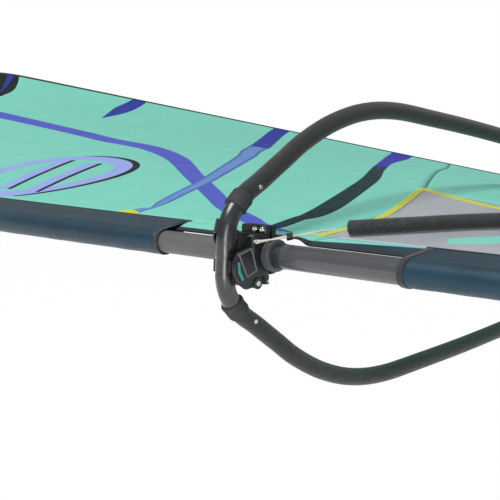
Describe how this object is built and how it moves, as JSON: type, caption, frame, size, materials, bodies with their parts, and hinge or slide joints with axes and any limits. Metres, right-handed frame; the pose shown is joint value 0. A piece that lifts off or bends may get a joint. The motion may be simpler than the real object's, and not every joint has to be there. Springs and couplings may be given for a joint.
{
  "type": "windsurf sail rig",
  "caption": "Sail rig for a board: curved mast in a luff sleeve, laced panel sail with clear window, folding clamp-on boom with telescoping tail, uphaul rope and universal-joint foot.",
  "frame": {"origin": "centre of the deck plate's underside, where the rig stands on the board", "axes": "+X along the mast axis from the tip to the board, +Y from the mast to the clew, +Z square to the sail on its upper side"},
  "size_m": [4.4626, 2.0121, 0.6019],
  "materials": {
    "sailcloth": "woven laminate sailcloth, sea green",
    "film": "clear monofilm window",
    "webbing": "black woven webbing",
    "steel": "stainless steel",
    "sleeve": "satin luff-sleeve cloth, dark teal",
    "tape": "black binding tape",
    "mast_grey": "sanded grey carbon laminate",
    "carbon": "dark carbon laminate",
    "nylon": "black moulded nylon",
    "foam": "black EVA foam grip",
    "rubber": "dark grey moulded rubber",
    "accent": "teal moulded inlay",
    "line": "pale braided cord",
    "rope": "black braided rope cover",
    "alloy": "anodised aluminium"
  },
  "bodies": {
    "rig": {"head_panel": "sailcloth", "upper_panel": "sailcloth", "clew_panel": "sailcloth", "foot_panel": "sailcloth", "window_panel": "film", "clew_patch": "webbing", "clew_ring": "steel", "sleeve_upper": "sleeve", "sleeve_lower": "sleeve", "cutout_strip": "tape", "mast_bottom_section": "mast_grey", "mast_top_section": "mast_grey", "mast_ferrule": "carbon", "mast_tip_plug": "nylon", "head_strap": "webbing", "head_block": "nylon", "jaw_pin": "steel", "clamp_bolt_1": "steel", "clamp_bolt_2": "steel", "lever_pin": "steel", "mast_adapter": "rubber", "uphaul_lashing": "line", "cord_stop": "nylon", "uphaul_rope": "rope", "uphaul_elastic": "rope", "uphaul_hook": "steel", "extension_foot": "nylon", "extension_tube": "alloy", "height_collar": "nylon", "tack_block": "steel", "tack_strap": "webbing", "downhaul_line": "line"},
    "boom": {"front_loop": "carbon", "saddle": "nylon", "upper_arm": "carbon", "lower_arm": "carbon", "upper_grip": "foam", "lower_grip": "foam", "upper_cuff": "rubber", "lower_cuff": "rubber"},
    "tail": {"tail_tube": "carbon", "tail_block": "nylon", "outhaul_line": "line", "outhaul_hook": "steel"},
    "tail_sheave": {"tail_sheave": "nylon"},
    "snap_button_upper": {"snap_button_upper": "steel"},
    "snap_button_lower": {"snap_button_lower": "steel"},
    "tail_button_upper": {"tail_button_upper": "steel"},
    "tail_button_lower": {"tail_button_lower": "steel"},
    "rear_jaw": {"rear_jaw": "nylon"},
    "clamp_lever": {"clamp_lever": "nylon", "lever_inlay": "accent"},
    "base_sheave": {"base_sheave": "nylon"},
    "tack_sheave": {"tack_sheave": "nylon"},
    "release_knob": {"release_knob": "steel"},
    "collar_pin": {"collar_pin": "steel"},
    "swivel": {"upper_yoke": "nylon"},
    "joint_cross": {"joint_cross": "alloy"},
    "deck": {"deck_plate": "rubber", "lower_yoke": "nylon"}
  },
  "joints": [
    {"name": "boom_fold", "type": "hinge", "parent": "rig", "child": "boom", "pos_m": [-1.4, -0.072, 0], "axis": [0, 0, 1], "range_deg": [-80, 0]},
    {"name": "tail_extension", "type": "slide", "parent": "boom", "child": "tail", "axis": [0, 1, 0], "range_m": [0, 0.2]},
    {"name": "tail_sheave_spin", "type": "hinge", "parent": "tail", "child": "tail_sheave", "pos_m": [-1.4, 1.8744, 0], "axis": [0, 0, 1], "continuous": true},
    {"name": "snap_button_upper_press", "type": "slide", "parent": "boom", "child": "snap_button_upper", "axis": [-1, 0, 0], "range_m": [0, 0.004], "stiffness_N_per_m": 600, "springref_m": -0.004},
    {"name": "snap_button_lower_press", "type": "slide", "parent": "boom", "child": "snap_button_lower", "axis": [-1, 0, 0], "range_m": [0, 0.004], "stiffness_N_per_m": 600, "springref_m": -0.004},
    {"name": "tail_button_upper_press", "type": "slide", "parent": "boom", "child": "tail_button_upper", "axis": [-1, 0, 0], "range_m": [0, 0.004], "stiffness_N_per_m": 600, "springref_m": -0.004},
    {"name": "tail_button_lower_press", "type": "slide", "parent": "boom", "child": "tail_button_lower", "axis": [-1, 0, 0], "range_m": [0, 0.004], "stiffness_N_per_m": 600, "springref_m": -0.004},
    {"name": "clamp_lever_turn", "type": "hinge", "parent": "rig", "child": "clamp_lever", "pos_m": [-1.4, -0.038, -0.04], "axis": [1, 0, 0], "range_deg": [0, 110]},
    {"name": "rear_jaw_open", "type": "hinge", "parent": "rig", "child": "rear_jaw", "pos_m": [-1.4, -0.004, -0.04], "axis": [1, 0, 0], "range_deg": [-9, 0]},
    {"name": "base_sheave_spin", "type": "hinge", "parent": "rig", "child": "base_sheave", "pos_m": [-0.128, 0.04, 0], "axis": [0, 0, 1], "continuous": true},
    {"name": "tack_sheave_spin", "type": "hinge", "parent": "rig", "child": "tack_sheave", "pos_m": [-0.215, 0.04, 0], "axis": [0, 0, 1], "continuous": true},
    {"name": "release_knob_pull", "type": "slide", "parent": "rig", "child": "release_knob", "axis": [0, 0, -1], "range_m": [0, 0.003], "stiffness_N_per_m": 800, "springref_m": -0.003},
    {"name": "collar_pin_pull", "type": "slide", "parent": "rig", "child": "collar_pin", "axis": [0, 0, -1], "range_m": [0, 0.06]},
    {"name": "base_swivel", "type": "hinge", "parent": "rig", "child": "swivel", "pos_m": [-0.092, 0, 0], "axis": [1, 0, 0], "continuous": true},
    {"name": "joint_tilt_side", "type": "hinge", "parent": "swivel", "child": "joint_cross", "pos_m": [-0.066, 0, 0], "axis": [0, 0, 1], "range_deg": [-60, 60]},
    {"name": "joint_tilt_lift", "type": "hinge", "parent": "joint_cross", "child": "deck", "pos_m": [-0.046, 0, 0], "axis": [0, 1, 0], "range_deg": [-60, 60]}
  ],
  "couplings": [
    {"joint": "rear_jaw_open", "follows": "clamp_lever_turn", "ratio": -0.08}
  ]
}
